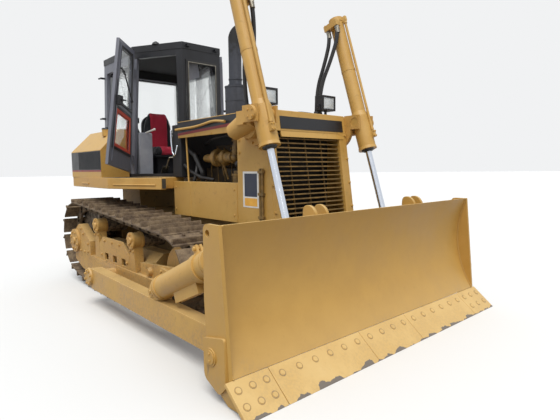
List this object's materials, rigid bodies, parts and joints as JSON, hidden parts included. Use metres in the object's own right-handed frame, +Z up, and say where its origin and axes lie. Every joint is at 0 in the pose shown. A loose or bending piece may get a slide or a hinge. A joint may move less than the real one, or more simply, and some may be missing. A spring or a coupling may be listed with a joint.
{
  "type": "bulldozer",
  "caption": "Medium crawler bulldozer with a straight blade on push arms, lift cylinders on the radiator guard, an open engine bay and a hexagonal cab with its door open",
  "frame": {"origin": "on the ground, under the middle of the whole machine from drawbar to cutting edge", "axes": "+X forward to the blade, +Y to the machine's left, +Z up"},
  "size_m": [4.86, 3.26, 3.0619],
  "materials": {
    "yellow_paint": "semi-gloss, dusty",
    "track_iron": "dull, muddy",
    "edge_steel": "worn",
    "engine_iron": "oily",
    "core_metal": "matt",
    "stack_iron": "matt, sooty",
    "cab_paint": "satin",
    "roof_paint": "satin",
    "window_glass": "clear",
    "black_plastic": "matt",
    "grey_plastic": "matt",
    "seat_cloth": "woven",
    "chrome_rod": "polished",
    "hose_rubber": "matt"
  },
  "bodies": {
    "chassis": {"cab_frame": "cab_paint", "cab_glass": "window_glass", "cab_roof": "roof_paint", "console": "grey_plastic", "controls": "black_plastic", "cylinder_yoke_left": "yellow_paint", "cylinder_yoke_right": "yellow_paint", "dash": "black_plastic", "drawbar": "yellow_paint", "engine_block": "engine_iron", "engine_fittings": "engine_iron", "exhaust_stack": "stack_iron", "fender_left": "yellow_paint", "fender_right": "yellow_paint", "fuel_tank": "yellow_paint", "hand_rail_left": "yellow_paint", "hand_rail_right": "yellow_paint", "head_lamps": "black_plastic", "hood": "yellow_paint", "idler_left": "track_iron", "idler_right": "track_iron", "main_frame": "yellow_paint", "radiator_core": "core_metal", "radiator_grille": "yellow_paint", "radiator_guard": "yellow_paint", "rollers_left": "track_iron", "rollers_right": "track_iron", "seat_frame": "black_plastic", "seat_pads": "seat_cloth", "side_panel_left": "yellow_paint", "side_panel_right": "yellow_paint", "sprocket_left": "track_iron", "sprocket_right": "track_iron", "track_frame_left": "yellow_paint", "track_frame_right": "yellow_paint", "track_left": "track_iron", "track_right": "track_iron"},
    "blade": {"blade_ribs": "yellow_paint", "brace_left": "yellow_paint", "brace_right": "yellow_paint", "cutting_edges": "edge_steel", "end_plate_left": "yellow_paint", "end_plate_right": "yellow_paint", "moldboard": "yellow_paint", "push_arm_left": "yellow_paint", "push_arm_right": "yellow_paint"},
    "barrel_right": {"hose_front_right": "hose_rubber", "hose_rear_right": "hose_rubber", "lift_barrel_right": "yellow_paint"},
    "barrel_left": {"hose_front_left": "hose_rubber", "hose_rear_left": "hose_rubber", "lift_barrel_left": "yellow_paint"},
    "rod_right": {"lift_rod_right": "chrome_rod"},
    "rod_left": {"lift_rod_left": "chrome_rod"},
    "door_right": {"door_glass_right": "window_glass", "door_right": "cab_paint"},
    "door_left": {"door_glass_left": "window_glass", "door_left": "cab_paint"}
  },
  "joints": [
    {"name": "blade_lift", "type": "hinge", "parent": "chassis", "child": "blade", "pos_m": [-0.57, 0, 0.32], "axis": [0, -1, 0], "range_deg": [-9, 18]},
    {"name": "barrel_swing_right", "type": "hinge", "parent": "chassis", "child": "barrel_right", "pos_m": [1.44, -0.66, 1.93], "axis": [0, -1, 0], "range_deg": [-3, 5]},
    {"name": "rod_slide_right", "type": "slide", "parent": "barrel_right", "child": "rod_right", "axis": [-0.2996, 0, 0.9541], "range_m": [-0.4, 0.8]},
    {"name": "barrel_swing_left", "type": "hinge", "parent": "chassis", "child": "barrel_left", "pos_m": [1.44, 0.66, 1.93], "axis": [0, -1, 0], "range_deg": [-3, 5]},
    {"name": "rod_slide_left", "type": "slide", "parent": "barrel_left", "child": "rod_left", "axis": [-0.2996, 0, 0.9541], "range_m": [-0.4, 0.8]},
    {"name": "door_swing_right", "type": "hinge", "parent": "chassis", "child": "door_right", "pos_m": [-1.18206, -0.67427, 1.4], "axis": [0.0639, 0.0363, 0.9973], "range_deg": [0, 75]},
    {"name": "door_swing_left", "type": "hinge", "parent": "chassis", "child": "door_left", "pos_m": [-1.18206, 0.67427, 1.4], "axis": [0.0639, -0.0363, 0.9973], "range_deg": [0, 75]}
  ],
  "couplings": [
    {"joint": "barrel_swing_right", "follows": "blade_lift", "ratio": 0.2},
    {"joint": "rod_slide_right", "follows": "blade_lift", "m_per_rad": 2.415},
    {"joint": "barrel_swing_left", "follows": "blade_lift", "ratio": 0.2},
    {"joint": "rod_slide_left", "follows": "blade_lift", "m_per_rad": 2.415}
  ]
}
